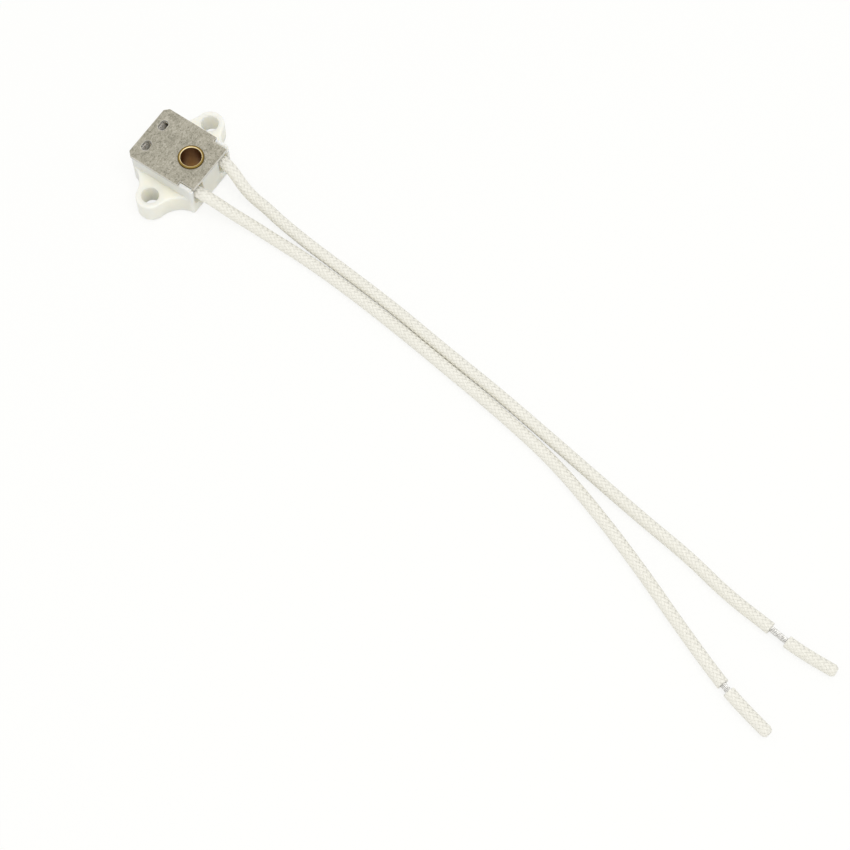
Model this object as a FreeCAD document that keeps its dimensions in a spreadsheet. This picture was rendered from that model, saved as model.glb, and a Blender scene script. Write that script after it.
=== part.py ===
import FreeCAD, Part
import math
import operator
import os
from types import SimpleNamespace

import Sketcher
from FreeCAD import Placement, Vector

# A ceramic lamp holder for two-pin halogen lamps, with two mounting ears and two braided leads.
# It lies on the back flange of its eyelet at Z = 0, with the mica face up. X runs along the ears,
# +Y points towards the leads, and the origin is midway between the two ear holes.
# These are the sizes that can be chosen by themselves, in millimetres.
SIZES = {
    # The ceramic body: outline, heights and walls
    "ear_spacing": 19.0,
    "ear_radius": 2.8,
    "ear_hole_dia": 3.4,
    "ear_thickness": 4.9,
    "body_length": 14.9,
    "body_height": 7.8,
    "outer_wall": 0.8,
    "far_wall": 0.7,
    "way_wall": 0.6,
    "floor_wall": 1.2,
    "flank_margin": 0.9,
    "flank_lean": 1.35,
    "corner_cut": 0.9,
    "cut_round": 0.3,
    "soft_edge": 0.35,
    "corner_round": 0.5,
    "lug_length": 2.7,
    "lug_inset": 0.3,
    "lug_round": 0.35,
    # The mica cover
    "mica_thickness": 0.6,
    "mica_overhang": 0.1,
    "mica_gap": 0.1,
    "mica_hole_fit": 0.05,
    "slot_length": 2.35,
    "slot_width": 1.65,
    # The brass eyelet that rivets the cover on
    "eyelet_offset": 3.0,
    "eyelet_bore": 4.0,
    "eyelet_wall": 0.3,
    "eyelet_fit": 0.15,
    "flange_width": 0.6,
    "flange_thickness": 0.4,
    "flange_round": 0.25,
    "rim_width": 0.2,
    "rim_height": 0.35,
    "rim_round": 0.22,
    # The pin contacts
    "pin_spacing": 5.3,
    "sheet": 0.25,
    "clip_width": 2.8,
    "clip_half": 1.0,
    "nip_half": 0.5,
    "bend_round": 0.15,
    "foot_rise": 1.4,
    "lip_rise": 1.4,
    "headroom": 0.6,
    "tail_width": 1.5,
    "tail_landing": 0.9,
    "crimp_length": 2.6,
    "crimp_gap": 0.9,
    "crimp_seam": 0.15,
    "contact_fit": 0.12,
    # The spring that presses the two leaves of a contact together
    "spring_sheet": 0.2,
    "spring_height": 0.9,
    "spring_fit": 0.05,
    # The leads
    "lead_dia": 2.4,
    "lead_fit": 0.1,
    "lead_slack": 0.4,
    "lead_room": 2.1,
    "lead_grip": 2.6,
    "lead_height": 5.6,
    "conductor_dia": 1.2,
    "wire_fit": 0.04,
    "tip_length": 9.6,
    "tip_recess": 0.6,
    "left_window": 3.6,
    "right_window": 1.6,
}

# Where each lead runs after it leaves its groove: down to the surface that the holder lies on, then
# beside the other lead, and apart again towards its tip. Y is measured from the end of the body.
LEFT_LEAD = [
    (-3.78, 1.5, 5.6),
    (-3.28, 3.5, 4.6),
    (-2.75, 5.5, 3.2),
    (-2.35, 8.0, 2.2),
    (-1.95, 11.0, 1.55),
    (-1.5, 14.85, 1.25),
    (-0.8, 22.15, 1.25),
    (-0.1, 31.15, 1.25),
    (1.1, 43.15, 1.25),
    (2.95, 56.15, 1.25),
    (4.4, 68.15, 1.25),
    (6.2, 80.65, 1.25),
    (8.95, 93.15, 1.25),
    (10.8, 104.65, 1.25),
    (12.0, 114.65, 1.25),
    (14.5, 124.15, 1.25),
    (15.4, 133.15, 1.25),
    (16.3, 140.15, 1.25),
    (15.9, 146.85, 1.25),
]
RIGHT_LEAD = [
    (3.83, 1.5, 5.6),
    (3.45, 3.45, 4.65),
    (3.05, 5.6, 3.4),
    (2.7, 8.1, 2.35),
    (2.35, 11.2, 1.6),
    (2.1, 15.35, 1.25),
    (2.0, 23.15, 1.25),
    (2.7, 33.15, 1.25),
    (4.35, 46.15, 1.25),
    (5.65, 58.15, 1.25),
    (7.8, 71.65, 1.25),
    (10.8, 84.65, 1.25),
    (14.65, 97.15, 1.25),
    (19.2, 108.55, 1.25),
    (23.9, 119.55, 1.25),
    (28.2, 129.85, 1.25),
    (30.6, 136.55, 1.25),
    (32.0, 142.85, 1.25),
]
# The arcs of a lead take this share of the shorter run beside them.
ARC_SHARE = 0.45
# A lead starts to turn this far inside its groove.
LEAD_TURN = 0.5
# Edges are told apart by where they lie, to this many millimetres.
CLOSE = 1e-4
# A swept rod may differ from its section times its length by this share.
VOLUME_SHARE = 0.001

doc = FreeCAD.newDocument("lamp_holder")
sheet = doc.addObject("Spreadsheet::Sheet", "Sizes")
for row, (name, value) in enumerate(SIZES.items(), start=1):
    sheet.set(f"A{row}", name)
    sheet.set(f"B{row}", str(value))
    sheet.setAlias(f"B{row}", name)
doc.recompute()


class Size:
    """A size as a number, for first guesses, and as the expression that the sheet works out."""

    def __init__(self, number, text):
        self.number = number
        self.text = text

    def joined(self, sign, other, turned=False):
        if not isinstance(other, Size):
            other = Size(other, str(other))
        first, second = (other, self) if turned else (self, other)
        work = {"+": operator.add, "-": operator.sub, "*": operator.mul, "/": operator.truediv}[sign]
        return Size(work(first.number, second.number), f"({first.text} {sign} {second.text})")

    def __add__(self, other):
        return self.joined("+", other)

    def __sub__(self, other):
        return self.joined("-", other)

    def __rsub__(self, other):
        return self.joined("-", other, turned=True)

    def __mul__(self, other):
        return self.joined("*", other)

    def __truediv__(self, other):
        return self.joined("/", other)

    def __neg__(self):
        return self.joined("-", 0, turned=True)

    def root(self):
        return Size(math.sqrt(self.number), f"sqrt({self.text})")


size = SimpleNamespace(**{name: Size(value, f"Sizes.{name}") for name, value in SIZES.items()})

# Heights, from the surface up
back = size.flange_thickness
ear_top = back + size.ear_thickness
seat = back + size.body_height
cover_top = seat + size.mica_thickness
chamber_floor = back + size.floor_wall
lead_level = back + size.lead_height
lead_bottom = lead_level - size.lead_dia / 2

# Widths, from the eyelet out to the side of the body
eyelet_radius = size.eyelet_bore / 2 + size.eyelet_wall
eyelet_hole = eyelet_radius + size.eyelet_fit
mica_hole = eyelet_radius + size.mica_hole_fit
conductor_radius = size.conductor_dia / 2
barrel_bore = conductor_radius + size.wire_fit
barrel_radius = barrel_bore + size.sheet
way_half = barrel_radius + size.contact_fit
lead_x = eyelet_hole + size.way_wall + way_half
groove_side = lead_x + size.lead_dia / 2 + size.lead_fit
groove_radius = (size.lead_dia + size.lead_fit + size.lead_slack) / 2
groove_x = groove_side - groove_radius
groove_level = lead_bottom - size.lead_room + groove_radius
body_half = groove_side + size.outer_wall
ear_x = size.ear_spacing / 2

# Places along the body, from the far end to the leads
rear = size.body_length / 2
far = -rear
clip_room = size.clip_half + size.contact_fit + size.spring_fit
pin_x = size.pin_spacing / 2
pin_y = far + size.far_wall + clip_room
chamber_end = pin_y + clip_room
braid_start = rear - size.lead_grip
crimp_end = braid_start - size.crimp_gap
crimp_start = crimp_end - size.crimp_length
tail_top = lead_level - barrel_bore
tail_under = tail_top - size.sheet
shelf_y = crimp_start - size.tail_landing

# Each flank is a hollow arc. It meets the side of the block at flank_y, with its centre flank_lean
# further along, and it runs into the round of the ear in one smooth line at slab_x. So its centre is
# one radius from that corner of the slab, and one radius and the ear's from the middle of the ear.
flank_y = rear - size.flank_margin
flank_end = flank_y + size.flank_lean
ear_reach = ear_x - body_half
ear_square = size.ear_radius * size.ear_radius
lean_square = size.flank_lean * size.flank_lean
spare = ear_reach * ear_reach + flank_end * flank_end - lean_square - ear_square
swing = (spare * spare + lean_square * (ear_reach * ear_reach - ear_square) * 4).root()
flank_room = spare * ear_reach + size.ear_radius * swing
flank_out = (spare * spare - ear_square * lean_square * 4) / flank_room / 2
flank_radius = (flank_out * flank_out + lean_square).root()
flank_x = body_half + flank_out
slab_x = ear_x + size.ear_radius * (flank_x - ear_x) / (size.ear_radius + flank_radius)


def bind(thing, name, value):
    thing.setExpression(name, value.text)


def new_body(label):
    body = doc.addObject("PartDesign::Body", label)
    body.Label = label
    return body


def new_sketch(body, name, role, offset=None):
    """A sketch on one of the body's own planes, moved along that plane's normal."""
    sketch = body.newObject("Sketcher::SketchObject", name)
    base = next(f for f in body.Origin.OriginFeatures if f.Role == role)
    sketch.AttachmentSupport = [(base, "")]
    sketch.MapMode = "FlatFace"
    if offset is not None:
        bind(sketch, "AttachmentOffset.Base.z", offset)
    return sketch


def hold(sketch, geometry, point, x, y):
    """Holds a point of the sketch at its two distances from the origin."""
    for kind, place in (("DistanceX", x), ("DistanceY", y)):
        place = place if isinstance(place, Size) else Size(place, str(place))
        rule = Sketcher.Constraint(kind, -1, 1, geometry, point, place.number)
        index = sketch.addConstraint(rule)
        bind(sketch, f"Constraints[{index}]", place)


def outline(sketch, corners):
    """A closed outline of straight sides."""
    first = sketch.GeometryCount
    count = len(corners)
    spots = [Vector(x.number, y.number, 0) for x, y in corners]
    for i in range(count):
        sketch.addGeometry(Part.LineSegment(spots[i], spots[(i + 1) % count]), False)
    for i, (x, y) in enumerate(corners):
        previous = first + (i - 1) % count
        sketch.addConstraint(Sketcher.Constraint("Coincident", previous, 2, first + i, 1))
        hold(sketch, first + i, 1, x, y)


def rectangle(sketch, x0, x1, y0, y1):
    outline(sketch, [(x0, y0), (x1, y0), (x1, y1), (x0, y1)])


def circle(sketch, x, y, radius):
    shape = Part.Circle(Vector(x.number, y.number, 0), Vector(0, 0, 1), radius.number)
    index = sketch.addGeometry(shape, False)
    hold(sketch, index, 3, x, y)
    rule = sketch.addConstraint(Sketcher.Constraint("Radius", index, radius.number))
    bind(sketch, f"Constraints[{rule}]", radius)


def long_hole(sketch, x, y, length, width):
    """A slot with round ends, along X."""
    radius = width / 2
    reach = length / 2 - radius
    ends = []
    for side, turn in ((-1, math.pi / 2), (1, -math.pi / 2)):
        centre_x = x + reach * side
        spot = Vector(centre_x.number, y.number, 0)
        whole = Part.Circle(spot, Vector(0, 0, 1), radius.number)
        arc = sketch.addGeometry(Part.ArcOfCircle(whole, turn, turn + math.pi), False)
        hold(sketch, arc, 3, centre_x, y)
        ends.append((arc, spot))
    (left, left_spot), (right, right_spot) = ends
    lift = Vector(0, radius.number, 0)
    lower = sketch.addGeometry(Part.LineSegment(left_spot - lift, right_spot - lift), False)
    upper = sketch.addGeometry(Part.LineSegment(right_spot + lift, left_spot + lift), False)
    for rule in (
        ("Tangent", left, 2, lower, 1),
        ("Tangent", lower, 2, right, 1),
        ("Tangent", right, 2, upper, 1),
        ("Tangent", upper, 2, left, 1),
        ("Horizontal", lower),
    ):
        sketch.addConstraint(Sketcher.Constraint(*rule))
    index = sketch.addConstraint(Sketcher.Constraint("Radius", left, radius.number))
    bind(sketch, f"Constraints[{index}]", radius)


def feature(body, kind, name, sketch, length, turned=False):
    """A pad or pocket of the sketch, of the length given."""
    made = body.newObject(f"PartDesign::{kind}", name)
    made.Profile = sketch
    made.Reversed = turned
    bind(made, "Length", length)
    doc.recompute()
    return made


def both_sides(draw):
    """Calls draw for the right side and for the left side of the part."""
    for side in (1, -1):
        draw(side)


def edge_names(shape, wanted):
    return [f"Edge{i}" for i, edge in enumerate(shape.Edges, start=1) if wanted(edge)]


def spans(edge, low, high):
    """Whether an edge is upright and runs between two heights."""
    box = edge.BoundBox
    upright = box.XLength < CLOSE and box.YLength < CLOSE
    return upright and abs(box.ZMin - low) < CLOSE and abs(box.ZMax - high) < CLOSE


def lies_at(edge, height):
    box = edge.BoundBox
    return abs(box.ZMin - height) < CLOSE and abs(box.ZMax - height) < CLOSE


def runs_across(edge):
    """Whether an edge runs along X."""
    box = edge.BoundBox
    return box.YLength < CLOSE and box.ZLength < CLOSE


def reaches_out(edge, side):
    """Whether an edge lies beyond the sides of the block, and not along them."""
    box = edge.BoundBox
    return box.XMax > side + CLOSE or box.XMin < -side - CLOSE


def dress(body, kind, name, wanted, value):
    """A fillet or chamfer on the edges of the body so far that are wanted."""
    base = body.Tip
    made = body.newObject(f"PartDesign::{kind}", name)
    made.Base = (base, edge_names(base.Shape, wanted))
    bind(made, "Radius" if kind == "Fillet" else "Size", value)
    doc.recompute()
    return made


def make_ceramic_body():
    """One pressed steatite body: the block under the cover, the ears, and the chambers inside it."""
    body = new_body("ceramic_body")

    # The ears and their hollow flanks: a slab with a round bite at each corner
    slab = new_sketch(body, "slab_outline", "XY_Plane", back)
    rectangle(slab, -slab_x, slab_x, -flank_y, flank_y)
    feature(body, "Pad", "slab", slab, size.ear_thickness)
    ends = new_sketch(body, "ear_outline", "XY_Plane", back)
    both_sides(lambda side: circle(ends, ear_x * side, Size(0, "0"), size.ear_radius))
    feature(body, "Pad", "ears", ends, size.ear_thickness)
    bites = new_sketch(body, "flank_outline", "XY_Plane", ear_top)
    for side in (1, -1):
        for end in (1, -1):
            circle(bites, flank_x * side, flank_end * end, flank_radius)
    feature(body, "Pocket", "flanks", bites, size.ear_thickness)
    dress(
        body,
        "Fillet",
        "ear_rims",
        lambda edge: lies_at(edge, ear_top.number) and reaches_out(edge, body_half.number),
        size.soft_edge,
    )

    # The block that carries the cover, with its far corners cut off
    cut_x = body_half - size.corner_cut
    cut_y = far + size.corner_cut
    block = new_sketch(body, "block_outline", "XY_Plane", back)
    outline(
        block,
        [
            (-cut_x, far),
            (cut_x, far),
            (body_half, cut_y),
            (body_half, rear),
            (-body_half, rear),
            (-body_half, cut_y),
        ],
    )
    feature(body, "Pad", "block", block, size.body_height)
    dress(
        body,
        "Fillet",
        "rear_corners",
        lambda edge: spans(edge, back.number, seat.number) and edge.BoundBox.YMin > 0,
        size.corner_round,
    )
    dress(
        body,
        "Fillet",
        "far_corners",
        lambda edge: spans(edge, back.number, seat.number) and edge.BoundBox.YMin < cut_y.number + CLOSE,
        size.cut_round,
    )
    dress(body, "Fillet", "back_edges", lambda edge: lies_at(edge, back.number), size.soft_edge)

    # The two lugs that stand in the notches of the cover and keep it from turning
    lug_end = rear - size.lug_inset
    lugs = new_sketch(body, "lug_outline", "XY_Plane", seat)
    for side in (1, -1):
        rectangle(lugs, groove_side * side, body_half * side, lug_end - size.lug_length, lug_end)
    feature(body, "Pad", "lugs", lugs, size.mica_thickness)
    dress(body, "Fillet", "lug_tops", lambda edge: lies_at(edge, cover_top.number), size.lug_round)

    # The holes in the ears and for the eyelet
    holes = new_sketch(body, "hole_outline", "XY_Plane", seat)
    both_sides(lambda side: circle(holes, ear_x * side, Size(0, "0"), size.ear_hole_dia / 2))
    circle(holes, Size(0, "0"), size.eyelet_offset, eyelet_hole)
    feature(body, "Pocket", "holes", holes, size.body_height)

    # On each side a deep chamber for the pin clip and a shallower way for the crimp
    inner = pin_x - size.clip_width / 2 - size.contact_fit
    chambers = new_sketch(body, "chamber_outline", "XY_Plane", seat)
    for side in (1, -1):
        outline(
            chambers,
            [
                (inner * side, far + size.far_wall),
                ((lead_x + way_half) * side, far + size.far_wall),
                ((lead_x + way_half) * side, shelf_y),
                ((lead_x - way_half) * side, shelf_y),
                ((lead_x - way_half) * side, chamber_end),
                (inner * side, chamber_end),
            ],
        )
    feature(body, "Pocket", "chambers", chambers, size.body_height - size.floor_wall)
    ways = new_sketch(body, "way_outline", "XY_Plane", seat)
    for side in (1, -1):
        rectangle(ways, (lead_x - way_half) * side, (lead_x + way_half) * side, shelf_y, braid_start)
    feature(body, "Pocket", "ways", ways, seat - tail_under)

    # The grooves that the leads come out of: open to the cover, with a round bottom, and roomier than
    # the leads below them and on the inner side, so that a lead can also be led out lower
    bottoms = new_sketch(body, "groove_bottom", "XZ_Plane", -rear)
    both_sides(lambda side: circle(bottoms, groove_x * side, groove_level, groove_radius))
    feature(body, "Pocket", "groove_bottoms", bottoms, size.lead_grip, turned=True)
    mouths = new_sketch(body, "groove_mouth", "XZ_Plane", -rear)
    for side in (1, -1):
        inside = (groove_x - groove_radius) * side
        rectangle(mouths, inside, groove_side * side, groove_level, seat)
    feature(body, "Pocket", "groove_mouths", mouths, size.lead_grip, turned=True)
    return body


def make_mica_cover():
    """A plate punched from mica: two pin slots, the eyelet hole and a notch for each lug."""
    body = new_body("mica_cover")
    half = body_half + size.mica_overhang
    end = rear + size.mica_overhang
    notch_x = groove_side - size.mica_gap
    notch_y = rear - size.lug_inset - size.lug_length - size.mica_gap
    cut = size.corner_cut
    plate = new_sketch(body, "plate_outline", "XY_Plane", seat)
    outline(
        plate,
        [
            (cut - half, -end),
            (half - cut, -end),
            (half, cut - end),
            (half, notch_y),
            (notch_x, notch_y),
            (notch_x, end),
            (-notch_x, end),
            (-notch_x, notch_y),
            (-half, notch_y),
            (-half, cut - end),
        ],
    )
    circle(plate, Size(0, "0"), size.eyelet_offset, mica_hole)
    for side in (1, -1):
        long_hole(plate, pin_x * side, pin_y, size.slot_length, size.slot_width)
    feature(body, "Pad", "plate", plate, size.mica_thickness)
    return body


def make_eyelet():
    """A drawn brass eyelet: a factory flange at the back, and a rim rolled over on the cover."""
    body = new_body("eyelet")
    bore = size.eyelet_bore / 2
    flange = eyelet_radius + size.flange_width
    rim = mica_hole + size.rim_width
    top = cover_top + size.rim_height
    profile = new_sketch(body, "eyelet_profile", "XZ_Plane")
    outline(
        profile,
        [
            (bore, Size(0, "0")),
            (flange, Size(0, "0")),
            (flange, back),
            (eyelet_radius, back),
            (eyelet_radius, cover_top),
            (rim, cover_top),
            (rim, top),
            (bore, top),
        ],
    )
    turned = body.newObject("PartDesign::Revolution", "turned")
    turned.Profile = profile
    turned.ReferenceAxis = (profile, ["V_Axis"])
    turned.Angle = 360
    bind(body, "Placement.Base.y", size.eyelet_offset)
    doc.recompute()
    dress(body, "Fillet", "rolled_rim", lambda edge: lies_at(edge, top.number), size.rim_round)
    dress(
        body,
        "Fillet",
        "flange_edge",
        lambda edge: lies_at(edge, 0) and edge.BoundBox.XLength > eyelet_hole.number * 2,
        size.flange_round,
    )
    return body


def make_contact(label):
    """One strip of plated metal: a clip whose leaves grip the pin, a tail, and a crimped barrel."""
    body = new_body(label)
    clip_top = seat - size.headroom
    nip = clip_top - size.lip_rise
    shoulder = chamber_floor + size.foot_rise
    wide = size.clip_half
    leaf = size.sheet

    # The clip, bent like a tulip: wide at its foot, narrow where it grips, open at its lips
    right_leaf = [
        (wide, chamber_floor),
        (wide, shoulder),
        (size.nip_half + leaf, nip),
        (wide, clip_top),
        (wide - leaf, clip_top),
        (size.nip_half, nip),
        (wide - leaf, shoulder),
        (wide - leaf, chamber_floor + leaf),
    ]
    corners = [(pin_y + x, z) for x, z in right_leaf]
    corners += [(pin_y - x, z) for x, z in reversed(right_leaf)]
    clip = new_sketch(body, "clip_profile", "YZ_Plane", pin_x - size.clip_width / 2)
    outline(clip, corners)
    feature(body, "Pad", "clip", clip, size.clip_width)
    dress(
        body,
        "Fillet",
        "outer_foot",
        lambda edge: runs_across(edge) and lies_at(edge, chamber_floor.number),
        size.bend_round + leaf,
    )
    dress(
        body,
        "Fillet",
        "inner_foot",
        lambda edge: runs_across(edge) and lies_at(edge, (chamber_floor + leaf).number),
        size.bend_round,
    )

    # The tail runs along the chamber floor, climbs to the shelf and lies under the conductor
    climb_start = chamber_end + size.contact_fit
    tail = new_sketch(body, "tail_profile", "YZ_Plane", lead_x - size.tail_width / 2)
    climb_end = shelf_y - size.contact_fit
    outline(
        tail,
        [
            (pin_y, chamber_floor),
            (climb_start, chamber_floor),
            (climb_end, tail_under),
            (crimp_end, tail_under),
            (crimp_end, tail_top),
            (climb_end - leaf / 2, tail_top),
            (climb_start - leaf / 2, chamber_floor + leaf),
            (pin_y, chamber_floor + leaf),
        ],
    )
    feature(body, "Pad", "tail", tail, size.tail_width)

    # The barrel, closed round the conductor
    ring = new_sketch(body, "barrel_outline", "XZ_Plane", -crimp_end)
    circle(ring, lead_x, lead_level, barrel_radius)
    feature(body, "Pad", "barrel", ring, size.crimp_length)
    bore = new_sketch(body, "barrel_bore", "XZ_Plane", -crimp_end)
    circle(bore, lead_x, lead_level, barrel_bore)
    feature(body, "Pocket", "bore", bore, size.crimp_length, turned=True)
    seam = new_sketch(body, "barrel_seam", "XZ_Plane", -crimp_end)
    half_seam = size.crimp_seam / 2
    top = lead_level + barrel_radius
    rectangle(seam, lead_x - half_seam, lead_x + half_seam, lead_level, top)
    feature(body, "Pocket", "seam", seam, size.crimp_length, turned=True)
    return body


def make_grip_spring(label):
    """A band of spring steel round both leaves of a contact, open towards the middle of the body."""
    body = new_body(label)
    nip = seat - size.headroom - size.lip_rise
    low = nip - size.spring_height / 2
    inside = size.clip_half + size.spring_fit - size.spring_sheet
    outside = size.clip_half + size.spring_fit
    start = pin_x - size.clip_width / 2
    end = pin_x + size.clip_width / 2 + size.spring_fit
    band = new_sketch(body, "band_outline", "XY_Plane", low)
    outline(
        band,
        [
            (start, pin_y - outside),
            (end + size.spring_sheet, pin_y - outside),
            (end + size.spring_sheet, pin_y + outside),
            (start, pin_y + outside),
            (start, pin_y + inside),
            (end, pin_y + inside),
            (end, pin_y - inside),
            (start, pin_y - inside),
        ],
    )
    feature(body, "Pad", "band", band, size.spring_height)
    return body


def mirrored(label, source):
    """The same piece for the other side of the body."""
    made = doc.addObject("Part::Mirroring", label)
    made.Label = label
    made.Source = source
    made.Base = Vector(0, 0, 0)
    made.Normal = Vector(1, 0, 0)
    return made


def route(points):
    """A lead's centre line: straight runs joined by arcs as large as the runs allow."""
    spots = [Vector(*point) for point in points]
    edges = []
    radii = []
    start = spots[0]
    for before, corner, after in zip(spots, spots[1:], spots[2:]):
        behind = before - corner
        ahead = after - corner
        setback = ARC_SHARE * min(behind.Length, ahead.Length)
        half_turn = (math.pi - behind.getAngle(ahead)) / 2
        radius = setback / math.tan(half_turn)
        behind.normalize()
        ahead.normalize()
        inward = (behind + ahead).normalize()
        arc_start = corner + behind * setback
        arc_end = corner + ahead * setback
        middle = corner + inward * (radius / math.cos(half_turn) - radius)
        edges.append(Part.LineSegment(start, arc_start).toShape())
        edges.append(Part.Arc(arc_start, middle, arc_end).toShape())
        radii.append(radius)
        start = arc_end
    edges.append(Part.LineSegment(start, spots[-1]).toShape())
    return Part.Wire(edges), radii


def stretch(line, start, end):
    """The part of a centre line between two distances from its start."""
    kept = []
    along = 0
    for edge in line.OrderedEdges:
        first = max(start - along, 0)
        last = min(end - along, edge.Length)
        if last - first > CLOSE:
            marks = [edge.getParameterByLength(mark) for mark in (first, last)]
            kept.append(edge.Curve.toShape(*marks))
        along += edge.Length
    return Part.Wire(kept)


def rod(line, radius):
    """A round rod along a line."""
    first = line.OrderedEdges[0]
    start = first.valueAt(first.FirstParameter)
    heading = first.tangentAt(first.FirstParameter)
    ring = Part.Wire(Part.Circle(start, heading, radius).toShape())
    made = line.makePipeShell([ring], True, False)
    expected = math.pi * radius**2 * line.Length
    if abs(made.Volume - expected) > VOLUME_SHARE * expected:
        raise ValueError(f"a rod of {expected:.2f} cubic mm came out as {made.Volume:.2f}")
    return made


def solid_piece(label, shape):
    made = doc.addObject("Part::Feature", label)
    made.Label = label
    made.Shape = shape
    made.Placement = Placement()
    return made


def make_lead(side_name, side, points, window):
    """A braided lead with its conductor bared near the end and a slug of braid left on the tip."""
    x = lead_x.number * side
    level = lead_level.number
    begin = (x, braid_start.number, level)
    turn = (x, rear.number - LEAD_TURN, level)
    outside = [(across, rear.number + along, up) for across, along, up in points]
    line, radii = route([begin, turn, *outside])
    length = line.Length
    print(f"{side_name} lead: {length:.1f} mm, smallest arc {min(radii):.1f} mm")
    tip_start = length - SIZES["tip_length"]
    braid_end = tip_start - window
    outer = SIZES["lead_dia"] / 2
    bore = barrel_bore.number
    wire_end = length - SIZES["tip_recess"]
    straight_in = Part.LineSegment(Vector(x, crimp_start.number, level), Vector(*begin)).toShape()
    wire_line = Part.Wire([straight_in, *stretch(line, 0, wire_end).OrderedEdges])
    braid_line = stretch(line, 0, braid_end)
    tip_line = stretch(line, tip_start, length)
    braid = rod(braid_line, outer).cut(rod(braid_line, bore))
    tip = rod(tip_line, outer).cut(rod(tip_line, bore))
    wire = rod(wire_line, conductor_radius.number)
    return [
        solid_piece(f"lead_braid_{side_name}", braid),
        solid_piece(f"conductor_{side_name}", wire),
        solid_piece(f"tip_sleeve_{side_name}", tip),
    ]


contact_right = make_contact("contact_right")
spring_right = make_grip_spring("grip_spring_right")
parts = [
    make_ceramic_body(),
    make_mica_cover(),
    make_eyelet(),
    contact_right,
    mirrored("contact_left", contact_right),
    spring_right,
    mirrored("grip_spring_left", spring_right),
    *make_lead("left", -1, LEFT_LEAD, SIZES["left_window"]),
    *make_lead("right", 1, RIGHT_LEAD, SIZES["right_window"]),
]
doc.recompute()

for thing in doc.Objects:
    if "Invalid" in thing.State or "Error" in thing.State:
        raise ValueError(f"{thing.Label} failed: {thing.State}")
os.makedirs("parts", exist_ok=True)
for part in parts:
    if part.Shape.isNull() or not part.Shape.isValid():
        raise ValueError(f"{part.Label} has no valid shape")
    part.Shape.exportStep(f"parts/{part.Label}.step")
    print(f"{part.Label}: {len(part.Shape.Solids)} solid, {part.Shape.Volume:.2f} cubic mm")
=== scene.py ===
import math

import bpy
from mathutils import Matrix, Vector


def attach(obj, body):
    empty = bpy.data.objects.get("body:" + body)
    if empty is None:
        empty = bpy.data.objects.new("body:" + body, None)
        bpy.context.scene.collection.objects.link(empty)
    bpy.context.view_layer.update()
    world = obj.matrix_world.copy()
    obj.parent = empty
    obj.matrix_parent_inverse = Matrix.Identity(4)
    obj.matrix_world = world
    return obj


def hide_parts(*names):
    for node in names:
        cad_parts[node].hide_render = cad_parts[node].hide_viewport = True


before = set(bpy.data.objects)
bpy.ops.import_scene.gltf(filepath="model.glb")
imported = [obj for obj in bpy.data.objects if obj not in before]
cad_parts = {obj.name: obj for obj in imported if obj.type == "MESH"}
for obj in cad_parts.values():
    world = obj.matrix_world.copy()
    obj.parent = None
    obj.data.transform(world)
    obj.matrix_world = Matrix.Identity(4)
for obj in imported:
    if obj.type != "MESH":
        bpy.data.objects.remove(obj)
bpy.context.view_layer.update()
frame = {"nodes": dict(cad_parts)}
nodes = frame["nodes"]


# The conductors. The core of each lead is a bundle of nineteen tinned copper strands with a slow
# twist. It runs from the crimp inside the holder to just short of the tip, and shows at the bared
# window and at the cut end.
MM = 0.001
CRIMP_START = 1.35 * MM
LEAD_LEVEL = 6.0 * MM
TIP_LENGTH = 10.1 * MM
TIP_RECESS = 0.6 * MM
INNER_RING = 6
OUTER_RING = 12
# How far the outer ring lies beyond the inner one, in strand diameters.
RING_STEP = 0.93
STRAND_DIAMETER = 0.24 * MM
STRAND_SIDES = 6
STRAND_TWIST = 16 * MM
STRAND_STEP = 0.5 * MM
TIN_PATCH = 0.33 * MM
TIN_SHADES = [(0.35, (0.52, 0.51, 0.48)), (0.65, (0.8, 0.79, 0.76))]
TIN_ROUGHNESS = (0.18, 0.48)

# Where each lead runs: out of its groove, down to the surface, and along it to the tip.
LEADS = {
    "left": {
        "window": 3.6 * MM,
        "points": [
            (-0.00406, 0.00485, 0.00600),
            (-0.00406, 0.00695, 0.00600),
            (-0.00378, 0.00895, 0.00560),
            (-0.00328, 0.01095, 0.00460),
            (-0.00275, 0.01295, 0.00320),
            (-0.00235, 0.01545, 0.00220),
            (-0.00225, 0.01845, 0.00155),
            (-0.00152, 0.02230, 0.00125),
            (-0.00055, 0.02960, 0.00125),
            (0.00025, 0.03860, 0.00125),
            (0.00142, 0.05060, 0.00125),
            (0.00334, 0.06360, 0.00125),
            (0.00484, 0.07560, 0.00125),
            (0.00687, 0.08810, 0.00125),
            (0.00897, 0.10060, 0.00125),
            (0.01090, 0.11210, 0.00125),
            (0.01225, 0.12210, 0.00125),
            (0.01450, 0.13160, 0.00125),
            (0.01540, 0.14060, 0.00125),
            (0.01630, 0.14760, 0.00125),
            (0.01587, 0.15480, 0.00125),
        ],
    },
    "right": {
        "window": 1.6 * MM,
        "points": [
            (0.00406, 0.00485, 0.00600),
            (0.00406, 0.00695, 0.00600),
            (0.00383, 0.00895, 0.00560),
            (0.00345, 0.01090, 0.00465),
            (0.00305, 0.01305, 0.00340),
            (0.00270, 0.01555, 0.00235),
            (0.00235, 0.01865, 0.00160),
            (0.00228, 0.02280, 0.00125),
            (0.00230, 0.03060, 0.00125),
            (0.00294, 0.04060, 0.00125),
            (0.00436, 0.05360, 0.00125),
            (0.00602, 0.06560, 0.00125),
            (0.00795, 0.07910, 0.00125),
            (0.01043, 0.09210, 0.00125),
            (0.01455, 0.10460, 0.00125),
            (0.01902, 0.11600, 0.00125),
            (0.02390, 0.12700, 0.00125),
            (0.02820, 0.13730, 0.00125),
            (0.03060, 0.14400, 0.00125),
            (0.03211, 0.15079, 0.00125),
        ],
    },
}


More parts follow.
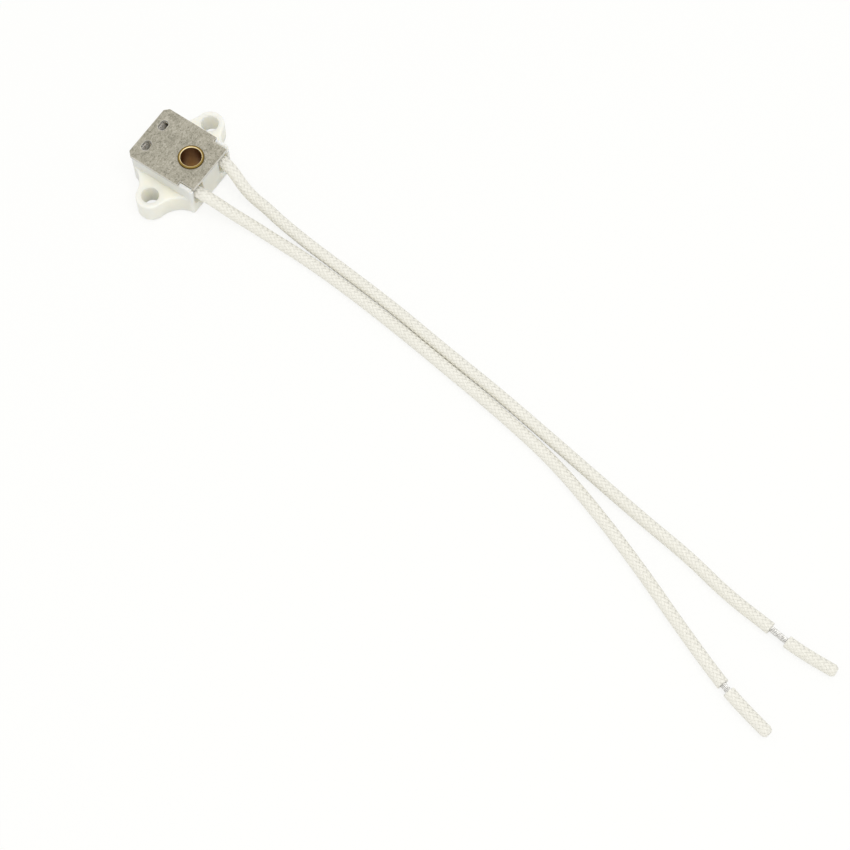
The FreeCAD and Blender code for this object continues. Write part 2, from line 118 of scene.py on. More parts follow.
class Wire:
    """One socket of a node tree. Sums, products and the like add the tree's own Math nodes."""

    def __init__(self, nodes, socket):
        self.nodes = nodes
        self.socket = socket

    def math(self, operation, *values):
        sockets = dict(enumerate(values))
        return self.nodes.add("ShaderNodeMath", {"operation": operation}, sockets)

    def __add__(self, other):
        return self.math("ADD", self, other)

    def __sub__(self, other):
        return self.math("SUBTRACT", self, other)

    def __rsub__(self, other):
        return self.math("SUBTRACT", other, self)

    def __mul__(self, other):
        return self.math("MULTIPLY", self, other)

    def __truediv__(self, other):
        return self.math("DIVIDE", self, other)

    def __rtruediv__(self, other):
        return self.math("DIVIDE", other, self)

    def __gt__(self, other):
        return self.math("GREATER_THAN", self, other)

    def __abs__(self):
        return self.math("ABSOLUTE", self)

    __radd__ = __add__
    __rmul__ = __mul__

    def least(self, other):
        return self.math("MINIMUM", self, other)

    def most(self, other):
        return self.math("MAXIMUM", self, other)

    def root(self):
        return self.math("SQRT", self)

    def sine(self):
        return self.math("SINE", self)

    def cosine(self):
        return self.math("COSINE", self)

    def beside(self, name):
        """Another output of the same node."""
        return Wire(self.nodes, self.socket.node.outputs[name])


class Nodes:
    """Adds nodes to one tree, each with its settings first and then its sockets."""

    def __init__(self, tree):
        self.tree = tree

    def add(self, kind, settings=None, sockets=None, out=0):
        node = self.tree.nodes.new(kind)
        for name, value in (settings or {}).items():
            if name == "stops":
                self.set_stops(node.color_ramp, value)
            else:
                setattr(node, name, value)
        for name, value in (sockets or {}).items():
            self.give(node.inputs[name], value)
        return Wire(self, node.outputs[out]) if node.outputs else node

    def vector(self, operation, sockets, out=0):
        return self.add("ShaderNodeVectorMath", {"operation": operation}, sockets, out)

    def give(self, socket, value):
        if isinstance(value, Wire):
            self.tree.links.new(value.socket, socket)
        elif socket.type == "RGBA" and len(value) == 3:
            socket.default_value = (*value, 1)
        else:
            socket.default_value = value

    @staticmethod
    def set_stops(ramp, stops):
        while len(ramp.elements) < len(stops):
            ramp.elements.new(1)
        for element, (place, shade) in zip(ramp.elements, stops):
            element.position = place
            element.color = (*shade, 1)


def start_tree(name, inputs):
    """A geometry tree with the named inputs, and a wire for each."""
    tree = bpy.data.node_groups.new(name, "GeometryNodeTree")
    geometry = {"socket_type": "NodeSocketGeometry"}
    tree.interface.new_socket("Geometry", in_out="INPUT", **geometry)
    for label, kind in inputs.items():
        tree.interface.new_socket(label, in_out="INPUT", socket_type=f"NodeSocket{kind}")
    tree.interface.new_socket("Geometry", in_out="OUTPUT", **geometry)
    make = Nodes(tree)
    start = make.add("NodeGroupInput")
    return tree, make, {label: start.beside(label) for label in ["Geometry", *inputs]}


def end_tree(make, geometry, material):
    """Smooth faces, real geometry and the material, as the tree's output."""
    smooth = make.add("GeometryNodeSetShadeSmooth", None, {"Geometry": geometry})
    real = make.add("GeometryNodeRealizeInstances", None, {"Geometry": smooth})
    finish = {"Geometry": real, "Material": material}
    painted = make.add("GeometryNodeSetMaterial", None, finish)
    make.add("NodeGroupOutput", None, {"Geometry": painted})


def grow(name, path, tree, values):
    """Runs a geometry tree on a path and keeps the result as a plain mesh object."""
    mesh = bpy.data.meshes.new(f"{name}_path")
    mesh.from_pydata(path, [(i, i + 1) for i in range(len(path) - 1)], [])
    thing = bpy.data.objects.new(name, mesh)
    bpy.context.scene.collection.objects.link(thing)
    modifier = thing.modifiers.new(tree.name, "NODES")
    modifier.node_group = tree
    for item in tree.interface.items_tree:
        if item.in_out == "INPUT" and item.name in values:
            modifier[item.identifier] = values[item.name]
    ready = thing.evaluated_get(bpy.context.evaluated_depsgraph_get())
    thing.data = bpy.data.meshes.new_from_object(ready)
    thing.modifiers.clear()
    bpy.data.meshes.remove(mesh)
    return thing


def smooth_line(points):
    """The points along the one smooth curve that a lead's route gives."""
    curve = bpy.data.curves.new("route", "CURVE")
    curve.dimensions = "3D"
    spline = curve.splines.new("NURBS")
    spline.points.add(len(points) - 1)
    for spot, point in zip(spline.points, points):
        spot.co = (*point, 1)
    spline.order_u = 3
    spline.use_endpoint_u = True
    spline.resolution_u = 16
    holder = bpy.data.objects.new("route", curve)
    bpy.context.scene.collection.objects.link(holder)
    ready = holder.evaluated_get(bpy.context.evaluated_depsgraph_get())
    line = [vertex.co.copy() for vertex in bpy.data.meshes.new_from_object(ready).vertices]
    bpy.data.objects.remove(holder)
    bpy.data.curves.remove(curve)
    return line


def line_length(line):
    return sum((b - a).length for a, b in zip(line, line[1:]))


def part_of_line(line, start, end):
    """The stretch of a line between two distances from its start."""
    kept = []
    along = 0
    for a, b in zip(line, line[1:]):
        step = (b - a).length
        for mark in (start, end):
            if along <= mark < along + step:
                kept.append(a.lerp(b, (mark - along) / step))
        if start < along + step < end:
            kept.append(b)
        along += step
    return kept


def start_material(name):
    """A material with its one surface shader, and the maker of its nodes."""
    material = bpy.data.materials.new(name)
    material.use_nodes = True
    shader = material.node_tree.nodes["Principled BSDF"]
    return material, shader, Nodes(material.node_tree)


def noise(make, place, size, detail=2):
    """Soft random shades between 0 and 1, with features of about the given size."""
    sockets = {"Vector": place, "Scale": 1 / size, "Detail": detail}
    return make.add("ShaderNodeTexNoise", None, sockets)


def shaded(make, shade, stops):
    """The colour that a row of stops gives for a shade between 0 and 1."""
    return make.add("ShaderNodeValToRGB", {"stops": stops}, {0: shade})


def ranged(shade, ends):
    """A value that goes from the first end to the second as the shade goes from 0 to 1."""
    first, last = ends
    return shade * (last - first) + first


def tinned_wire():
    """Dull tinned copper: grey metal, a little uneven where the tin is thicker."""
    material, shader, make = start_material("tinned_wire")
    place = make.add("ShaderNodeTexCoord", out="Object")
    patches = noise(make, place, TIN_PATCH, 3)
    make.give(shader.inputs["Base Color"], shaded(make, patches, TIN_SHADES))
    make.give(shader.inputs["Roughness"], ranged(patches, TIN_ROUGHNESS))
    shader.inputs["Metallic"].default_value = 1
    return material


def straight_copies(make, label, count, reach, step, sides):
    """Straight rods one unit thick, all in one place, and wires for their number and place."""
    ends = make.add("GeometryNodeInputIndex") * reach
    drawn = make.add("GeometryNodeSetPosition", None, {
        "Geometry": make.add("GeometryNodeCurvePrimitiveLine"),
        "Position": make.add("ShaderNodeCombineXYZ", None, {"X": ends}),
    })
    spacing = {"Curve": drawn, "Length": step}
    stepped = make.add("GeometryNodeResampleCurve", {"mode": "LENGTH"}, spacing)
    circle = {"Resolution": sides, "Radius": 0.5}
    section = make.add("GeometryNodeCurvePrimitiveCircle", None, circle)
    swept = {"Curve": stepped, "Profile Curve": section, "Fill Caps": True}
    rod = make.add("GeometryNodeCurveToMesh", None, swept)
    spots = make.add("GeometryNodeMeshLine", None, {"Count": count, "Offset": (0, 0, 0)})
    numbered = make.add(
        "GeometryNodeStoreNamedAttribute",
        {"data_type": "INT", "domain": "POINT"},
        {"Geometry": spots, "Name": label, "Value": make.add("GeometryNodeInputIndex")},
    )
    copies = make.add("GeometryNodeInstanceOnPoints", None, {"Points": numbered, "Instance": rod})
    rods = make.add("GeometryNodeRealizeInstances", None, {"Geometry": copies})
    number = make.add("GeometryNodeInputNamedAttribute", {"data_type": "INT"}, {"Name": label})
    place = make.add("ShaderNodeSeparateXYZ", None, {0: make.add("GeometryNodeInputPosition")})
    return rods, number, place


def wrap_on_path(make, curve, along, side, lift):
    """The place at a distance along the path, set off from it by two distances square to it."""
    spot = make.add(
        "GeometryNodeSampleCurve",
        {"mode": "LENGTH", "use_all_curves": False},
        {"Curves": curve, "Length": along},
        out="Position",
    )
    first = spot.beside("Normal")
    second = make.vector("CROSS_PRODUCT", {0: first, 1: spot.beside("Tangent")})
    place = spot
    for direction, distance in ((first, side), (second, lift)):
        step = make.vector("SCALE", {0: direction, "Scale": distance})
        place = make.vector("ADD", {0: place, 1: step})
    return place


def strand_tree():
    """Strands in two rings round a middle one, all twisted together along the path."""
    tree, make, given = start_tree(
        "strands",
        {
            "Length": "Float",
            "Strand Diameter": "Float",
            "Twist": "Float",
            "Step": "Float",
            "Material": "Material",
        },
    )
    curve = make.add("GeometryNodeMeshToCurve", None, {"Mesh": given["Geometry"]})
    count = 1 + INNER_RING + OUTER_RING
    bundle, number, place = straight_copies(
        make, "strand", count, given["Length"], given["Step"], STRAND_SIDES
    )
    along, across, up = place, place.beside("Y"), place.beside("Z")
    in_inner = number > 0.5
    in_outer = number > INNER_RING + 0.5
    ring_radius = (in_inner + in_outer * RING_STEP) * given["Strand Diameter"]
    inner_turn = (number - 1) * (math.tau / INNER_RING)
    turn = inner_turn - (number - 1) * in_outer * (math.tau / OUTER_RING)
    angle = turn + along / given["Twist"] * math.tau
    side = angle.cosine() * ring_radius + up * given["Strand Diameter"]
    lift = angle.sine() * ring_radius + across * given["Strand Diameter"]
    laid = wrap_on_path(make, curve, along, side, lift)
    placed = make.add("GeometryNodeSetPosition", None, {"Geometry": bundle, "Position": laid})
    end_tree(make, placed, given["Material"])
    return tree


tin = tinned_wire()
strands = strand_tree()
for side_name, lead in LEADS.items():
    lead["line"] = smooth_line(lead["points"])
    lead["length"] = line_length(lead["line"])
    exit_x = lead["points"][0][0]
    crimped = Vector((exit_x, CRIMP_START, LEAD_LEVEL))
    wire_line = [crimped] + part_of_line(lead["line"], 0, lead["length"] - TIP_RECESS)
    lead["wire"] = grow(
        f"wire_{side_name}",
        wire_line,
        strands,
        {
            "Length": line_length(wire_line),
            "Strand Diameter": STRAND_DIAMETER,
            "Twist": STRAND_TWIST,
            "Step": STRAND_STEP,
            "Material": tin,
        },
    )
    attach(lead["wire"], "root")
    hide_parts(f"conductor_{side_name}")


# The braid. Each lead's insulation is a thin liner in a sleeve of sixteen flat glass-fibre yarns,
# eight wound each way, that pass over and under one another. The sleeve is cut near the end, where
# a slug of it is left on the tip, and its yarns splay a little at each cut.
YARNS_EACH_WAY = 8
BRAID_LAY = 9 * MM
BRAID_RADIUS = 1.06 * MM
YARN_WIDTH = 0.86 * MM
YARN_THICKNESS = 0.2 * MM
YARN_RISE = 0.04 * MM
YARN_SIDES = 5
YARN_STEP = 0.2 * MM
# A yarn's width and place wander over this length, and differently in the next yarn.
WANDER_LENGTH = 4.5 * MM
WANDER_APART = 7.3
YARN_SWELL = (0.9, 1.1)
YARN_SWAY = 0.3
SPLAY_REACH = 1.2 * MM
ROUND_REACH = 0.9 * MM
LINER_RADIUS = 1.07 * MM
LINER_BORE = 0.66 * MM
LINER_SIDES = 24
# Points as near to one another as this count as one.
HAIR = 0.001 * MM
GLASS_PATCH = 6 * MM
GLASS_SHADES = [(0.3, (0.82, 0.8, 0.705)), (0.62, (0.885, 0.865, 0.785))]
GLASS_ROUGHNESS = (0.2, 0.55)
FILAMENT_STRETCH = (1.5, 16)
FILAMENT_RELIEF = 0.02 * MM
FILAMENTS_APART = 3
# For the sleeve and the tip: the solid that it replaces, the liner's step, the yarns' splay, and
# how far the end is drawn in.
CUTS = {
    "sleeve": ("lead_braid", 1 * MM, 0.06 * MM, 0.0),
    "tip": ("tip_sleeve", 0.3 * MM, 0.04 * MM, 0.45 * MM),
}


def glass_yarn():
    """Varnished glass fibre: off-white, glossy along fine filaments, a little creamy in patches."""
    material, shader, make = start_material("glass_yarn")
    flat = make.add("ShaderNodeSeparateXYZ", None, {0: make.add("ShaderNodeTexCoord", out="UV")})
    along, across = flat, flat.beside("Y")
    stretched = {"X": along * FILAMENT_STRETCH[0], "Y": across * FILAMENT_STRETCH[1]}
    filaments = noise(make, make.add("ShaderNodeCombineXYZ", None, stretched), 1, 3)
    patches = noise(make, make.add("ShaderNodeTexCoord", out="Object"), GLASS_PATCH)
    tint = shaded(make, filaments * 0.7 + patches * 0.3, GLASS_SHADES)
    make.give(shader.inputs["Base Color"], tint)
    make.give(shader.inputs["Roughness"], ranged(filaments, GLASS_ROUGHNESS))
    relief = {"Height": filaments, "Strength": 0.4, "Distance": FILAMENT_RELIEF}
    make.give(shader.inputs["Normal"], make.add("ShaderNodeBump", None, relief))
    return material


def fading(make, distance, reach, settings=None):
    """1 at no distance, falling to 0 at the reach."""
    sockets = {"Value": distance, "From Min": 0, "From Max": reach, "To Min": 1, "To Max": 0}
    return make.add("ShaderNodeMapRange", settings, sockets)


def drawn_in(make, given, along):
    """How far the sleeve is drawn in at a distance along it, to a round end."""
    near_tip = fading(make, given["Length"] - along, ROUND_REACH)
    return near_tip * near_tip * given["Rounding"]


def woven_yarns(make, given, curve):
    """Yarns made straight, turned about the path in both directions, and woven by their height."""
    slope = given["Radius"] / given["Lay"] * math.tau
    steep = 1 / (slope * slope + 1).root()
    lean = slope * steep
    each_way = given["Yarns Each Way"]
    yarns, number, place = straight_copies(
        make, "yarn", each_way * 2, given["Length"] / steep, given["Step"], YARN_SIDES
    )
    along, across, up = place, place.beside("Y"), place.beside("Z")
    hand = 1 - (number + 0.5 > each_way) * 2
    wander_place = {"X": along / WANDER_LENGTH, "Y": number * WANDER_APART}
    wander = noise(make, make.add("ShaderNodeCombineXYZ", None, wander_place), 1, 1)
    sway = (wander - 0.5) * given["Yarn Width"] * YARN_SWAY
    wide = across * given["Yarn Width"] * ranged(wander, YARN_SWELL) + sway
    axial = along * steep - hand * wide * lean
    round_way = hand * along * lean + wide * steep
    angle = round_way / given["Radius"] + number * math.tau / each_way
    crossed = (angle / math.tau + hand * axial / given["Lay"]) * each_way
    weave = ((crossed + number) * math.pi).cosine() * hand * given["Rise"]
    from_end = axial.least(given["Length"] - axial)
    near_end = fading(make, from_end, SPLAY_REACH, {"interpolation_type": "SMOOTHSTEP"})
    radius = given["Radius"] + weave + up * given["Yarn Thickness"]
    radius = radius + near_end * wander * given["Splay"]
    radius = radius - drawn_in(make, given, axial)
    laid = wrap_on_path(make, curve, axial, angle.cosine() * radius, angle.sine() * radius)
    split = make.add("ShaderNodeSeparateXYZ", None, {0: laid})
    above_floor = {"X": split, "Y": split.beside("Y"), "Z": split.beside("Z").most(0.0)}
    rested = make.add("ShaderNodeCombineXYZ", None, above_floor)
    on_yarn = {"X": along / MM, "Y": across + number * FILAMENTS_APART}
    mapped = make.add("ShaderNodeCombineXYZ", None, on_yarn)
    marked = make.add(
        "GeometryNodeStoreNamedAttribute",
        {"data_type": "FLOAT2", "domain": "CORNER"},
        {"Geometry": yarns, "Name": "UVMap", "Value": mapped},
    )
    return make.add("GeometryNodeSetPosition", None, {"Geometry": marked, "Position": rested})


def liner_pipe(make, given, curve):
    """The liner: a pipe with a wall and closed ends, bent along the path."""
    pipe = make.add(
        "GeometryNodeMeshCylinder",
        {"fill_type": "NONE"},
        {
            "Vertices": LINER_SIDES,
            "Side Segments": given["Length"] / given["Liner Step"],
            "Radius": given["Liner Radius"],
            "Depth": given["Length"],
        },
    )
    inward = make.add(
        "GeometryNodeExtrudeMesh",
        None,
        {
            "Mesh": pipe,
            "Offset Scale": given["Liner Bore"] - given["Liner Radius"],
            "Individual": False,
        },
    )
    inner = make.add("GeometryNodeFlipFaces", None, {"Mesh": inward})
    shell = make.add("GeometryNodeJoinGeometry", None, {"Geometry": pipe})
    make.give(shell.socket.node.inputs[0], inner)
    welded = {"Geometry": shell, "Distance": HAIR}
    liner = make.add("GeometryNodeMergeByDistance", None, welded)
    place = make.add("ShaderNodeSeparateXYZ", None, {0: make.add("GeometryNodeInputPosition")})
    along = place.beside("Z") + given["Length"] / 2
    narrowed = 1 - drawn_in(make, given, along) / given["Liner Radius"]
    laid = wrap_on_path(make, curve, along, place.beside("Y") * narrowed, place * narrowed)
    return make.add("GeometryNodeSetPosition", None, {"Geometry": liner, "Position": laid})


def braid_tree():
    """The sleeve: the woven yarns round their liner."""
    tree, make, given = start_tree(
        "braid",
        {
            "Length": "Float",
            "Yarns Each Way": "Int",
            "Lay": "Float",
            "Radius": "Float",
            "Yarn Width": "Float",
            "Yarn Thickness": "Float",
            "Rise": "Float",
            "Step": "Float",
            "Liner Radius": "Float",
            "Liner Bore": "Float",
            "Liner Step": "Float",
            "Splay": "Float",
            "Rounding": "Float",
            "Material": "Material",
        },
    )
    curve = make.add("GeometryNodeMeshToCurve", None, {"Mesh": given["Geometry"]})
    woven = woven_yarns(make, given, curve)
    lined = liner_pipe(make, given, curve)
    whole = make.add("GeometryNodeJoinGeometry", None, {"Geometry": woven})
    make.give(whole.socket.node.inputs[0], lined)
    end_tree(make, whole, given["Material"])
    return tree


glass = glass_yarn()
braid = braid_tree()
for side_name, lead in LEADS.items():
    line, length = lead["line"], lead["length"]
    tip_start = length - TIP_LENGTH
    sleeve_line = part_of_line(line, 0, tip_start - lead["window"])
    tip_line = part_of_line(line, tip_start, length - HAIR)
    for name, stretch in (("sleeve", sleeve_line), ("tip", tip_line)):
        node, liner_step, splay, rounding = CUTS[name]
        lead[name] = grow(
            f"braided_{name}_{side_name}",
            stretch,
            braid,
            {
                "Length": line_length(stretch),
                "Yarns Each Way": YARNS_EACH_WAY,
                "Lay": BRAID_LAY,
                "Radius": BRAID_RADIUS,
                "Yarn Width": YARN_WIDTH,
                "Yarn Thickness": YARN_THICKNESS,
                "Rise": YARN_RISE,
                "Step": YARN_STEP,
                "Liner Radius": LINER_RADIUS,
                "Liner Bore": LINER_BORE,
                "Liner Step": liner_step,
                "Splay": splay,
                "Rounding": rounding,
                "Material": glass,
            },
        )
        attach(lead[name], "root")
        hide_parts(f"{node}_{side_name}")
    line_length(sleeve_line)


# The contacts. Each is one strip of nickel-plated brass, pierced and folded into a clip for the
# lamp's pin, a tail and a crimp on the wire. The plating is bright on the leaves and stained in
# patches.
PLATE_STAIN = 0.5 * MM
PLATE_SHADES = [(0.36, (0.45, 0.41, 0.35)), (0.46, (0.86, 0.82, 0.76)), (0.7, (0.95, 0.93, 0.89))]
PLATE_ROUGHNESS = (0.75, 0.35)


def nickel_plate():
    """Plating that is bright where it is whole, and brown and rougher in its stains."""
    material, shader, make = start_material("nickel_plate")
    place = make.add("ShaderNodeTexCoord", out="Object")
    stains = noise(make, place, PLATE_STAIN, 4)
    make.give(shader.inputs["Base Color"], shaded(make, stains, PLATE_SHADES))
    make.give(shader.inputs["Roughness"], ranged(stains, PLATE_ROUGHNESS))
    shader.inputs["Metallic"].default_value = 0.2
    return material


def finish_node(name, material):
    """Gives a solid of the frame its finish."""
    thing = nodes[name]
    thing.data.materials.clear()
    thing.data.materials.append(material)


plate = nickel_plate()
finish_node("contact_left", plate)
finish_node("contact_right", plate)


# The grip springs. A band of spring steel round each clip presses its two leaves together. It is
# rolled strip, tempered to a dull straw and blue.
HEAT_PATCH = 1.2 * MM
ROLLED_LINE = 0.4 * MM
ROLLED_STRETCH = (1, 1, 14)
STEEL_SHADES = [(0.35, (0.2, 0.22, 0.27)), (0.6, (0.4, 0.37, 0.31))]
STEEL_ROUGHNESS = (0.22, 0.52)


def tempered_steel():
    """Spring steel: patches of heat colour, and fine lines from the rolls."""
    material, shader, make = start_material("tempered_steel")
    place = make.add("ShaderNodeTexCoord", out="Object")
    heat = noise(make, place, HEAT_PATCH)
    rolled = make.vector("MULTIPLY", {0: place, 1: ROLLED_STRETCH})
    lines = noise(make, rolled, ROLLED_LINE)
    make.give(shader.inputs["Base Color"], shaded(make, heat, STEEL_SHADES))
    make.give(shader.inputs["Roughness"], ranged(lines, STEEL_ROUGHNESS))
    shader.inputs["Metallic"].default_value = 1
    return material


steel = tempered_steel()
finish_node("grip_spring_left", steel)
finish_node("grip_spring_right", steel)


# The ceramic body. One piece of steatite with two ears, pressed dry in a die and fired without
# glaze. It is warm white and satin, with a fine grain, faint clouds and a few dark specks of iron.
# The holes in its ears are painted whiter: painted light where their walls lie in shade.
EAR_HOLE_PLACE = 9.5 * MM
EAR_HOLE_RADIUS = 1.7 * MM
EAR_HOLE_MARGIN = 0.02 * MM
CERAMIC_CLOUD = 4 * MM
CERAMIC_GRAIN = 0.09 * MM
CERAMIC_SHADES = [(0.3, (0.87, 0.845, 0.74)), (0.7, (0.915, 0.895, 0.79))]
CERAMIC_ROUGHNESS = (0.34, 0.59)
CERAMIC_RELIEF = 0.02 * MM
# The lighter colour in the ear holes is painted light where their walls lie in shade.
HOLE_PAINTED_LIGHT = (0.985, 0.975, 0.86)
LIGHT_DEPTH = 3 * MM
# The iron specks: how far apart they could be, the share that is left out, and their radius as a
# share of that distance.
IRON_SPACING = 1.1 * MM
IRON_LEFT_OUT = 0.9
IRON_RADIUS = 0.055
IRON_SPECK = (0.4, 0.33, 0.24)


def mixed(make, share, first, second):
    """The first colour, with the given share of the second one."""
    colours = {0: share, 6: first, 7: second}
    return make.add("ShaderNodeMix", {"data_type": "RGBA"}, colours, out=2)


def cells(make, place, spacing):
    """The distance from the nearest of many scattered spots, and a random share for each spot."""
    sockets = {"Vector": place, "Scale": 1 / spacing}
    spots = make.add("ShaderNodeTexVoronoi", None, sockets)
    return spots, make.add("ShaderNodeSeparateColor", None, {0: spots.beside("Color")})


def specks(make, place, spacing, left_out, radius):
    """1 in some of many scattered spots, and 0 elsewhere."""
    spots, chance = cells(make, place, spacing)
    return (chance > left_out) * (radius - spots > 0)


def steatite():
    """Satin ceramic that light enters a little way, with painted light in its ear holes."""
    material, shader, make = start_material("steatite")
    place = make.add("ShaderNodeTexCoord", out="Object")
    flat = make.add("ShaderNodeSeparateXYZ", None, {0: place})
    across, length_way = abs(flat) - EAR_HOLE_PLACE, flat.beside("Y")
    square = across * across + length_way * length_way
    in_hole = (EAR_HOLE_RADIUS + EAR_HOLE_MARGIN) ** 2 - square > 0
    clouds = noise(make, place, CERAMIC_CLOUD, 3)
    grain = noise(make, place, CERAMIC_GRAIN, 3)
    speck = specks(make, place, IRON_SPACING, IRON_LEFT_OUT, IRON_RADIUS)
    tint = shaded(make, clouds * 0.75 + grain * 0.25, CERAMIC_SHADES)
    # Painted light: the ear holes get the lighter colour where their walls lie in shade.
    tint_with_painted_light = mixed(make, in_hole, tint, HOLE_PAINTED_LIGHT)
    make.give(shader.inputs["Base Color"], mixed(make, speck * 0.6, tint_with_painted_light, IRON_SPECK))
    make.give(shader.inputs["Roughness"], ranged(grain, CERAMIC_ROUGHNESS))
    shader.inputs["Subsurface Weight"].default_value = 0.9
    shader.inputs["Subsurface Radius"].default_value = (1, 0.9, 0.75)
    shader.inputs["Subsurface Scale"].default_value = LIGHT_DEPTH
    relief = {"Height": grain, "Strength": 0.35, "Distance": CERAMIC_RELIEF}
    make.give(shader.inputs["Normal"], make.add("ShaderNodeBump", None, relief))
    return material


finish_node("ceramic_body", steatite())


# The mica cover. A plate punched from mica paper, which is many thin flakes pressed into a sheet.
# The face is silver grey and pearly, with darker flakes and fine streaks. The cut edges are split
# and pale.
MICA_SIDE = 6.26 * MM
MICA_END = 7.55 * MM
NOTCH_CORNER = (5.26 * MM, 4.35 * MM)
SLOT_PLACE = (2.65 * MM, -5.58 * MM)
SLOT_STRAIGHT = 0.35 * MM
SLOT_RADIUS = 0.825 * MM
PALE_EDGE = 0.11 * MM
FLAKE_SPACING = 0.42 * MM
STREAK_WIDTH = 1.6 * MM
STREAK_TURN = (0, 0, 0.6)
STREAK_STRETCH = (1, 12, 1)
MICA_CLOUD = 3.2 * MM
MICA_GRAIN = 0.17 * MM
MICA_SHADES = [
    (0.34, (0.17, 0.16, 0.12)),
    (0.45, (0.33, 0.31, 0.24)),
    (0.58, (0.45, 0.42, 0.34)),
    (0.7, (0.62, 0.59, 0.5)),
]
DARK_FLAKE_SPACING = 0.9 * MM
DARK_FLAKES_LEFT_OUT = 0.72
DARK_FLAKE_RADIUS = 0.16
DARK_FLAKE = (0.13, 0.125, 0.1)
SPLIT_EDGE = (0.74, 0.725, 0.67)
MICA_RELIEF = 0.04 * MM


def from_cuts(place):
    """The distance from the nearest cut edge of the plate: slots, notches or rim."""
    across = abs(place)
    length_way = place.beside("Y")
    past_middle = (abs(across - SLOT_PLACE[0]) - SLOT_STRAIGHT).most(0.0)
    beside_middle = length_way - SLOT_PLACE[1]
    from_slot = (past_middle * past_middle + beside_middle * beside_middle).root() - SLOT_RADIUS
    from_rim = (MICA_SIDE - across).least(MICA_END - abs(length_way))
    from_notch = (NOTCH_CORNER[0] - across).most(NOTCH_CORNER[1] - length_way)
    return from_slot.least(from_notch).least(from_rim)


def mica():
    """Pressed flakes: greys at four sizes, dark flakes, and a ragged pale line at each cut."""
    material, shader, make = start_material("mica")
    place = make.add("ShaderNodeTexCoord", out="Object")
    flake_shade = cells(make, place, FLAKE_SPACING)[1]
    lying = {"Vector": place, "Rotation": STREAK_TURN, "Scale": STREAK_STRETCH}
    streaks = noise(make, make.add("ShaderNodeMapping", None, lying), STREAK_WIDTH, 4)
    clouds = noise(make, place, MICA_CLOUD, 4)
    fine = noise(make, place, MICA_GRAIN)
    shade = clouds * 0.12 + streaks * 0.22 + flake_shade * 0.14 + fine * 0.52
    speck = specks(
        make, place, DARK_FLAKE_SPACING, DARK_FLAKES_LEFT_OUT, DARK_FLAKE_RADIUS
    )
    specked = mixed(make, speck * 0.55, shaded(make, shade, MICA_SHADES), DARK_FLAKE)
    from_cut = from_cuts(make.add("ShaderNodeSeparateXYZ", None, {0: place}))
    ragged = PALE_EDGE * 2 - from_cut - fine * PALE_EDGE * 2.4
    reach = {"Value": ragged, "From Min": 0, "From Max": PALE_EDGE * 0.7}
    pale = make.add("ShaderNodeMapRange", None, reach)
    make.give(shader.inputs["Base Color"], mixed(make, pale * 0.8, specked, SPLIT_EDGE))
    make.give(shader.inputs["Roughness"], flake_shade * 0.2 + fine * 0.3 + 0.2)
    shader.inputs["Metallic"].default_value = 0.3
    height = flake_shade * 0.4 + streaks * 0.4 + fine * 0.5 - speck * 0.5
    relief = {"Height": height, "Strength": 0.6, "Distance": MICA_RELIEF}
    make.give(shader.inputs["Normal"], make.add("ShaderNodeBump", None, relief))
    return material


finish_node("mica_cover", mica())


# The eyelet. A tube drawn from brass strip, with a factory flange at the back. Its front end is
# rolled over on the mica. Its colour follows the distance from the axis: painted shade in the bore,
# a painted highlight on the ridge and painted shade in the crease round it.
EYELET_OFFSET = 3 * MM
EYELET_BORE_RADIUS = 2 * MM
EYELET_RIM_RADIUS = 2.55 * MM
BRASS_STAIN = 0.8 * MM
DRAWN_LINE = 0.12 * MM
DRAWN_STRETCH = (1, 1, 0.06)
# The colours from the bore outwards: painted shade in the bore, painted highlight on the ridge,
# painted shade in the crease.
BRASS_PAINTED_LIGHT = [
    (0.16, (0.24, 0.11, 0.016)),
    (0.23, (0.88, 0.78, 0.52)),
    (0.36, (0.7, 0.54, 0.26)),
    (0.46, (0.28, 0.19, 0.05)),
    (0.9, (0.12, 0.08, 0.02)),
]


def brass():
    """Brass with painted shade and a painted highlight that follow the distance from the eyelet's
    axis, with fine drawn lines.
    """
    material, shader, make = start_material("brass")
    place = make.add("ShaderNodeTexCoord", out="Object")
    from_axis = make.vector("SUBTRACT", {0: place, 1: (0, EYELET_OFFSET, 0)})
    outward = make.vector("MULTIPLY", {0: from_axis, 1: (1, 1, 0)})
    radius = make.vector("LENGTH", {0: outward}, out="Value")
    stains = noise(make, place, BRASS_STAIN, 4)
    lines = noise(make, make.vector("MULTIPLY", {0: place, 1: DRAWN_STRETCH}), DRAWN_LINE)
    from_bore_out = make.add(
        "ShaderNodeMapRange",
        None,
        {
            "Value": radius + (stains - 0.5) * 0.06 * MM,
            "From Min": EYELET_BORE_RADIUS - 0.1 * MM,
            "From Max": EYELET_RIM_RADIUS + 0.05 * MM,
        },
    )
    # Painted light: painted shade in the bore and the crease, a painted highlight on the ridge.
    make.give(shader.inputs["Base Color"], shaded(make, from_bore_out, BRASS_PAINTED_LIGHT))
    make.give(shader.inputs["Roughness"], stains * 0.2 + lines * 0.1 + 0.3)
    shader.inputs["Metallic"].default_value = 1
    return material


finish_node("eyelet", brass())


# The floor and the light. A plain white table under an even sky of studio light, with one large
# soft lamp high over the ends of the leads, so that the faces that look up are the brightest and
# the shadows stay faint.
FLOOR_DROP = 0.02 * MM
FLOOR_REACH = 2
FLOOR_SHADE = (0.94, 0.94, 0.93, 1)
FLOOR_GLOW = (1, 1, 0.985)
GLOW_SHARE = 0.8
LAMP_SIZE = 0.45
LAMP_POWER = 1.3
LAMP_PLACE = (0.05, 0.17, 0.58)
SKY_LIGHT = 0.75


def seen(make):
    """1 for a ray from the camera, also by way of a shiny or clear surface, and 0 for light."""
    view = make.add("ShaderNodeLightPath", out="Is Camera Ray")
    return view.most(view.beside("Is Glossy Ray")).most(view.beside("Is Transmission Ray"))


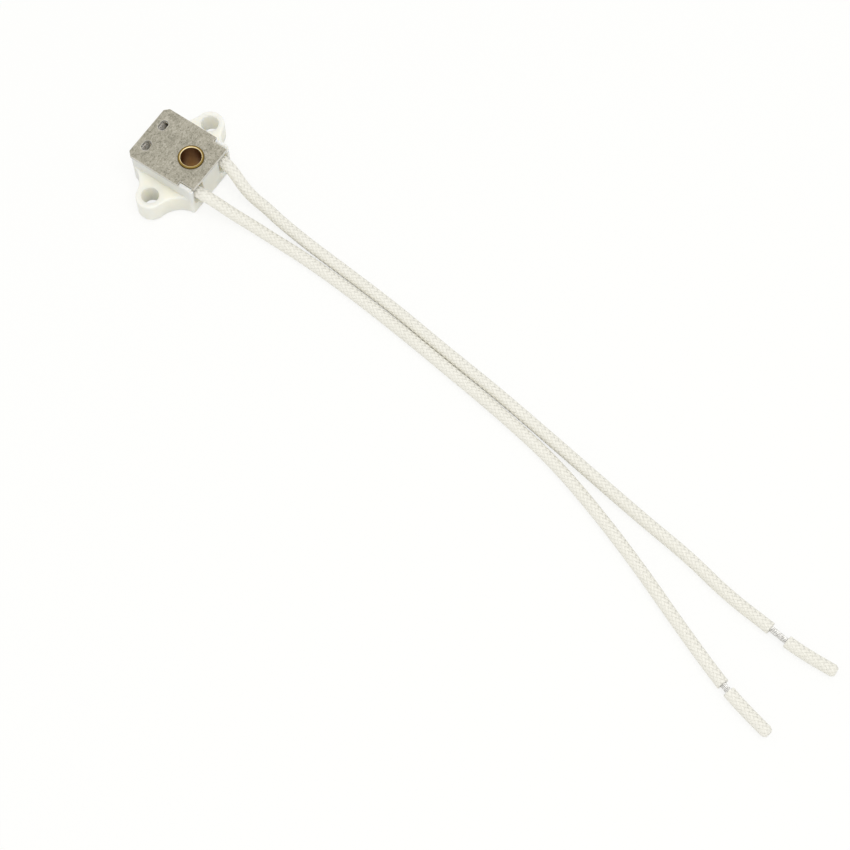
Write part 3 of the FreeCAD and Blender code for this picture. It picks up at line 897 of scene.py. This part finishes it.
def table_top():
    """A matt white top that shows nearly as bright as the backdrop, but still takes shadows."""
    material, shader, make = start_material("table_top")
    shader.inputs["Base Color"].default_value = FLOOR_SHADE
    shader.inputs["Roughness"].default_value = 0.9
    shader.inputs["Specular IOR Level"].default_value = 0
    glow = make.add("ShaderNodeEmission", None, {"Color": FLOOR_GLOW, "Strength": 1.0})
    matt = Wire(make, shader.outputs[0])
    either = make.add("ShaderNodeMixShader", None, {0: seen(make) * GLOW_SHARE, 1: matt, 2: glow})
    make.give(material.node_tree.nodes["Material Output"].inputs["Surface"], either)
    return material


corners = [
    (x * FLOOR_REACH, y * FLOOR_REACH, -FLOOR_DROP)
    for x, y in ((-1, -1), (1, -1), (1, 1), (-1, 1))
]
floor_mesh = bpy.data.meshes.new("floor")
floor_mesh.from_pydata(corners, [], [(0, 1, 2, 3)])
floor_mesh.materials.append(table_top())
floor = bpy.data.objects.new("floor", floor_mesh)
bpy.context.scene.collection.objects.link(floor)

lamp = bpy.data.lights.new("lamp", "AREA")
lamp.shape = "SQUARE"
lamp.size = LAMP_SIZE
lamp.energy = LAMP_POWER
lamp_holder = bpy.data.objects.new("lamp", lamp)
lamp_holder.location = LAMP_PLACE
lamp_holder.rotation_euler = Vector(LAMP_PLACE).to_track_quat("Z", "Y").to_euler()
bpy.context.scene.collection.objects.link(lamp_holder)

world = bpy.data.worlds.new("studio")
world.use_nodes = True
bpy.context.scene.world = world
sky_nodes = Nodes(world.node_tree)
sky_strength = seen(sky_nodes) * (1 - SKY_LIGHT) + SKY_LIGHT
backdrop = world.node_tree.nodes["Background"]
sky_nodes.give(backdrop.inputs["Color"], (1, 1, 1))
sky_nodes.give(backdrop.inputs["Strength"], sky_strength)


# The camera looks down on the holder from where the photographer stood.
CAMERA_PLACE = (0.15468, 0.1625, 0.38883)
CAMERA_AIM = (0.01727, 0.06841, 0)
CAMERA_LENS = 97.5
CAMERA_SENSOR = 36

camera_data = bpy.data.cameras.new("camera")
camera_data.lens = CAMERA_LENS
camera_data.sensor_width = CAMERA_SENSOR
camera = bpy.data.objects.new("camera", camera_data)
camera.location = CAMERA_PLACE
aim = Vector(CAMERA_AIM) - camera.location
camera.rotation_euler = aim.to_track_quat("-Z", "Y").to_euler()
bpy.context.scene.collection.objects.link(camera)
bpy.context.scene.camera = camera

bpy.context.scene.view_settings.view_transform = "Standard"
